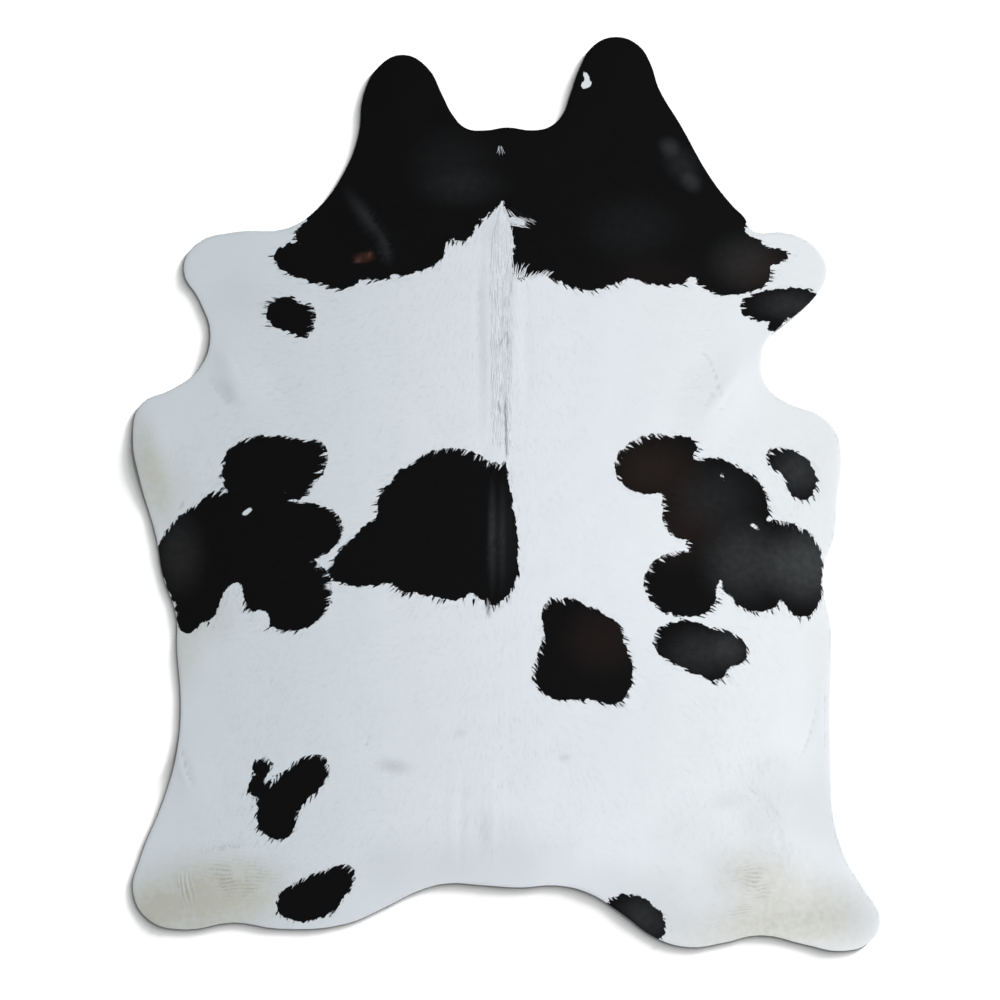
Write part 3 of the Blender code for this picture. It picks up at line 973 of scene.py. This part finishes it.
of_lock = np.repeat(np.arange(locks), BLADES_IN_LOCK)
blades = len(of_lock)
nearness = fade(np.abs(lock_in_patch) / EDGE_ZONE)[of_lock]
across_by = dice.uniform(-LOCK_HALF_WIDTH, LOCK_HALF_WIDTH, blades) * LOCK_SPACING
across_by *= 1 - EDGE_NARROWING * nearness
along_by = dice.uniform(-LOCK_HALF_LENGTH, LOCK_HALF_LENGTH, blades) * LOCK_SPACING
blade_x = lock_x[of_lock] + along_by * along_x[of_lock] - across_by * along_y[of_lock]
blade_y = lock_y[of_lock] + along_by * along_y[of_lock] + across_by * along_x[of_lock]
blade_length = lock_length[of_lock] * dice.uniform(*BLADE_LENGTHS, blades)
blade_length *= 1 - EDGE_SHORTENING * nearness * (1 - TOOTH_SPARED * is_tooth[of_lock])
blade_length *= MIDDLE_BLADE - OUTER_BLADE_LOSS * np.abs(across_by) / (LOCK_HALF_WIDTH * LOCK_SPACING)
closing = np.degrees(np.arctan2(-across_by, blade_length * MEETING_PLACE))
blade_way = lock_way[of_lock] + (CLOSING + CLOSING * nearness) * closing
blade_way += dice.normal(0, BLADE_WAY_SPREAD, blades) * (1 - nearness / 2)
tip_x, tip_y = moved(blade_x, blade_y, blade_way, blade_length)
root_in = read_map(inside_map, blade_x, blade_y)
tip_in = read_map(inside_map, tip_x, tip_y)
past = dice.uniform(*PAST_RIM, blades) * LONGEST_PAST_RIM
fits = np.where(tip_in < -past, (root_in + past) / np.maximum(root_in - tip_in, SMALL), 1)
blade_length = blade_length * np.clip(fits, 0, 1)
good = (root_in > 0) & (blade_length > SHORTEST_BLADE)
mid_x, mid_y = moved(blade_x, blade_y, blade_way, MIDDLE_OF_BLADE * blade_length)
blade_black = lock_in_patch[of_lock] > 0
at_edge = np.abs(lock_in_patch[of_lock]) < EDGE_ZONE
own_x = seen_x[of_lock] + OWN_SHARE * (blade_x - lock_x[of_lock])
own_y = seen_y[of_lock] + OWN_SHARE * (blade_y - lock_y[of_lock])
blade_black[at_edge] = patch_distance(own_x[at_edge], own_y[at_edge]) > 0
blade_black &= nick_distance(mid_x, mid_y) > 0

# The black hair is two pieces and the white is three, each between two heights on the hide.
PAST_HEAD = 2.0
PAST_TAIL = -2.0
HAIR_PIECES = [
    ("black_hair_neck", black_hair, True, 0.38, PAST_HEAD),
    ("black_hair_body", black_hair, True, PAST_TAIL, 0.38),
    ("white_hair_shoulders", white_hair, False, 0.1, PAST_HEAD),
    ("white_hair_flanks", white_hair, False, -0.5, 0.1),
    ("white_hair_haunches", white_hair, False, PAST_TAIL, -0.5),
]
hair_pieces = []
for name, material, is_black, from_y, to_y in HAIR_PIECES:
    mine = good & (blade_black == is_black) & (blade_y >= from_y) & (blade_y < to_y)
    count = int(mine.sum())
    width = BLADE_WIDTH * dice.uniform(*BLADE_WIDTHS, count) * (1 + EDGE_WIDENING * nearness[mine])
    bend = dice.normal(0, BLADE_BEND_SPREAD, count)
    raise_by = dice.uniform(*BLADE_RAISES, count) * blade_length[mine] / HAIR_LENGTH
    raise_by += TOOTH_RAISE * (is_tooth[of_lock] * nearness)[mine]
    piece = hair_piece(
        name, blade_x[mine], blade_y[mine], blade_way[mine], blade_length[mine], width, bend, raise_by,
        BLADE_SECTIONS, material, dice)
    shade = lock_shade[of_lock][mine] + dice.normal(0, BLADE_SHADE_SPREAD, count)
    shade *= BLACK_SHADE_GAIN if is_black else 1
    set_attribute(piece.data, "shade", np.repeat(shade, 2 * BLADE_SECTIONS + 1))
    hair_pieces.append(piece)


# --- The crest along the spine --------------------------------------------------------------------
# Longer, looser white hair in a low ridge down the middle of the back. It is dense from the neck to
# the shoulders and thins out to the loin, and its strands run straight down.

CREST_HEAD_END = 0.702
CREST_TAIL_END = 0.13
CREST_LEFT = -0.036
CREST_RIGHT = 0.014
CREST_MIDDLE = -0.012
CREST_NECK = 0.07          # it widens over that length at its head end
CREST_STRANDS = 1700
CROWDING = 1.5             # how much denser the strands stand towards the head end
GATHERING = 1.6            # and towards the crest's middle
FANNING = 5                # the outermost strands lie that many degrees apart
STRAND_SECTIONS = 6
STRAND_LENGTHS = (0.035, 0.08)
TAIL_END_LOSS = 0.6        # strands are that much shorter at the tail end
STRAND_WIDTHS = (0.0009, 0.002)
STRAND_RAISES = (0.0005, 0.0014)
STRAND_WAY_SPREAD = 3.5
STRAND_BEND_SPREAD = 7
SHADED_STRANDS = 0.07        # the share of the strands that is painted darker, as painted shade
# Painted shade and painted light: dark strands for the shade between the crest's strands, and the rest
# lighter for the light on its ridge.
SHADED_STRAND, LIT_STRAND = -0.1, 0.09
STRAND_SHADE_SPREAD = 0.02

dice = np.random.default_rng(11)
walk = dice.uniform(0, 1, CREST_STRANDS) ** CROWDING
strand_y = CREST_HEAD_END - walk * (CREST_HEAD_END - CREST_TAIL_END)
widening = np.clip((CREST_HEAD_END - strand_y) / CREST_NECK, 0.15, 1)
across = dice.beta(GATHERING, GATHERING, CREST_STRANDS)
from_middle = CREST_LEFT + across * (CREST_RIGHT - CREST_LEFT) - CREST_MIDDLE
strand_way = -90 + FANNING * (across - 0.5) + dice.normal(0, STRAND_WAY_SPREAD, CREST_STRANDS)
length = dice.uniform(*STRAND_LENGTHS, CREST_STRANDS) * (1 - TAIL_END_LOSS * walk)
width = dice.uniform(*STRAND_WIDTHS, CREST_STRANDS)
bend = dice.normal(0, STRAND_BEND_SPREAD, CREST_STRANDS)
raise_by = dice.uniform(*STRAND_RAISES, CREST_STRANDS)
crest = hair_piece(
    "spine_crest", CREST_MIDDLE + widening * from_middle, strand_y, strand_way, length, width, bend,
    raise_by, STRAND_SECTIONS, white_hair, dice)
shade = np.where(dice.uniform(0, 1, CREST_STRANDS) < SHADED_STRANDS, SHADED_STRAND, LIT_STRAND)
shade += dice.normal(0, STRAND_SHADE_SPREAD, CREST_STRANDS)
set_attribute(crest.data, "shade", np.repeat(shade, 2 * STRAND_SECTIONS + 1))
hair_pieces.append(crest)


# --- The loose tufts ------------------------------------------------------------------------------
# Small groups of longer hairs that lie across the coat: the whorl on the neck, the spikes beside the
# spine, and stray hairs along the parting, darkened as painted shade. Their roots stand in a row from one
# end to another.

TUFT_X_SPREAD = 0.001
TUFT_Y_SPREAD = 0.0015
TUFT_WAY_SPREAD = 4
TUFT_BEND_SPREAD = 12
TUFT_LENGTHS = (0.65, 1.15)
TUFT_WIDTHS = (0.7, 1.2)
TUFT_RAISES = (0.0016, 0.0026)
TUFT_SHADE_SPREAD = 0.03
BLACK_TUFT = -0.9          # a tuft darker than this is black all over
Tuft = namedtuple("Tuft", "x y end_x end_y way end_way length width count shade")

TUFTS = {
    "whorl beside the crest": Tuft(-0.01, 0.694, 0.016, 0.676, -72, -50, 0.022, 0.0011, 11, 0.02),
    "whorl's strands": Tuft(0.018, 0.668, 0.054, 0.662, -52, -24, 0.025, 0.0011, 15, 0),
    "whorl's lower edge": Tuft(-0.002, 0.668, 0.014, 0.643, -26, -3, 0.048, 0.0013, 12, 0.02),
    "black hair over the whorl": Tuft(0.01, 0.69, 0.05, 0.668, -56, -36, 0.018, 0.0015, 8, -0.98),
    "tall spikes by the spine": Tuft(0.016, 0.518, 0.04, 0.518, 88, 66, 0.04, 0.0022, 12, 0.02),
    "low spikes by the spine": Tuft(0.044, 0.518, 0.104, 0.526, 62, 38, 0.021, 0.002, 20, 0.02),
    "white tuft on the neck": Tuft(-0.021, 0.836, -0.011, 0.838, -104, -66, 0.023, 0.0012, 9, -0.3),
    "below the middle patch": Tuft(-0.048, -0.25, -0.04, -0.262, -84, -88, 0.052, 0.001, 6, -0.55),
    # The parting and the three strokes are darker hairs, painted shade along the parting.
    "parting": Tuft(-0.003, 0.235, 0, 0.105, -91, -90, 0.03, 0.0012, 20, -0.38),
    "stroke on the parting": Tuft(0.001, 0.398, 0.003, 0.372, -86, -84, 0.03, 0.0014, 8, -0.22),
    "stroke left of the parting": Tuft(-0.006, 0.38, -0.01, 0.372, -112, -112, 0.03, 0.0013, 5, -0.16),
    "stroke by the loin": Tuft(-0.022, 0.226, -0.018, 0.22, -76, -74, 0.03, 0.0014, 6, -0.24),
}

dice = np.random.default_rng(12)
rows = []
for tuft in TUFTS.values():
    count = tuft.count
    share = (np.arange(count) + dice.uniform(0.2, 0.8, count)) / count
    rows.append((
        tuft.x + share * (tuft.end_x - tuft.x) + dice.normal(0, TUFT_X_SPREAD, count),
        tuft.y + share * (tuft.end_y - tuft.y) + dice.normal(0, TUFT_Y_SPREAD, count),
        tuft.way + share * (tuft.end_way - tuft.way) + dice.normal(0, TUFT_WAY_SPREAD, count),
        tuft.length * dice.uniform(*TUFT_LENGTHS, count),
        tuft.width * dice.uniform(*TUFT_WIDTHS, count),
        tuft.shade + dice.normal(0, TUFT_SHADE_SPREAD, count) * (tuft.shade > BLACK_TUFT)))
root_x, root_y, way, length, width, shade = [np.concatenate(column) for column in zip(*rows)]
bend = dice.normal(0, TUFT_BEND_SPREAD, len(root_x))
raise_by = dice.uniform(*TUFT_RAISES, len(root_x))
tufts = hair_piece(
    "loose_tufts", root_x, root_y, way, length, width, bend, raise_by, STRAND_SECTIONS, white_hair, dice)
set_attribute(tufts.data, "shade", np.repeat(shade, 2 * STRAND_SECTIONS + 1))
hair_pieces.append(tufts)

for piece in hair_pieces:
    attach(piece, "root")


# --- The studio -----------------------------------------------------------------------------------
# A pale floor, a soft light over the rug and a long one on its right, three low suns that shine on the
# floor alone and throw the rug's soft shadow to the lower left, and the camera straight above.

FLOOR_COLOUR = (0.33, 0.33, 0.33, 1)
FLOOR_RADIUS = 30.0
FLOOR_GAP = 0.0002         # the floor lies that far under the rug


def floor_material():
    material, shader = new_material("white studio floor", roughness=0.9, specular=0.1)
    shader.inputs["Base Color"].default_value = FLOOR_COLOUR
    return material


floor_bm = bmesh.new()
bmesh.ops.create_circle(floor_bm, cap_ends=True, segments=64, radius=FLOOR_RADIUS,
                        matrix=Matrix.Translation((0, 0, low.z - FLOOR_GAP)))
floor = new_piece("floor", floor_bm, floor_material())


SUN_SIDE = 7.0             # the suns stand that far to the right and as far up the picture

# Each sun's height, its width in degrees and its strength. The lowest throws the widest shadow.
SUNS = {
    "low light on the floor": (0.92, 5, 50),
    "middle light on the floor": (1.7, 8, 13.5),
    "higher light on the floor": (4.0, 22, 6.5),
}
SKY = (0.97, 0.985, 1.0, 1)
SKY_STRENGTH = 0.485


def light_group(name, pieces):
    """The pieces that a light shines on."""
    group = bpy.data.collections.new(name)
    for piece in pieces:
        group.objects.link(piece)
    return group


def place_light(light, place, aim, power, lit):
    """Puts a light up, turned to its aim, for one group of pieces."""
    light.energy = power
    holder = bpy.data.objects.new(light.name, light)
    holder.location = place
    holder.rotation_euler = (Vector(aim) - Vector(place)).to_track_quat("-Z", "Y").to_euler()
    holder.light_linking.receiver_collection = lit
    bpy.context.scene.collection.objects.link(holder)


def softbox(name, place, aim, length, height, power, lit):
    light = bpy.data.lights.new(name, "AREA")
    light.shape = "RECTANGLE"
    light.size = length
    light.size_y = height
    place_light(light, place, aim, power, lit)


def low_sun(name, place, angle, power, lit):
    light = bpy.data.lights.new(name, "SUN")
    light.angle = radians(angle)
    place_light(light, place, (0, 0, 0), power, lit)


rug_pieces = light_group("the rug", [skin, coat] + hair_pieces)
softbox("long light on the right", (3.0, -0.6, 2.2), (0.3, 0, 0), 4.4, 1.4, 120, rug_pieces)
softbox("overhead light", (0, 0, 5), (0, 0, 0), 4.0, 4.0, 40, rug_pieces)
floor_only = light_group("the floor", [floor])
for name, (sun_height, angle, power) in SUNS.items():
    low_sun(name, (SUN_SIDE, SUN_SIDE, sun_height), angle, power, floor_only)

world = bpy.data.worlds.new("studio")
world.use_nodes = True
sky = world.node_tree.nodes["Background"]
sky.inputs["Color"].default_value = SKY
sky.inputs["Strength"].default_value = SKY_STRENGTH
bpy.context.scene.world = world
bpy.context.scene.view_settings.view_transform = "Standard"

# The photograph's frame: its scale, and where in it the hide's origin lies.
METRES_PER_PIXEL = 0.00241
PICTURE_SIDE = 1000
ORIGIN_COLUMN = 506.5
ORIGIN_ROW = 494
CAMERA_HEIGHT = 6.0
SENSOR = 36.0

lens = bpy.data.cameras.new("camera")
lens.sensor_width = SENSOR
lens.lens = SENSOR * CAMERA_HEIGHT / (PICTURE_SIDE * METRES_PER_PIXEL)
camera = bpy.data.objects.new("camera", lens)
camera.location = (
    (PICTURE_SIDE / 2 - ORIGIN_COLUMN) * METRES_PER_PIXEL,
    (ORIGIN_ROW - PICTURE_SIDE / 2) * METRES_PER_PIXEL, CAMERA_HEIGHT)
bpy.context.scene.collection.objects.link(camera)
bpy.context.scene.camera = camera
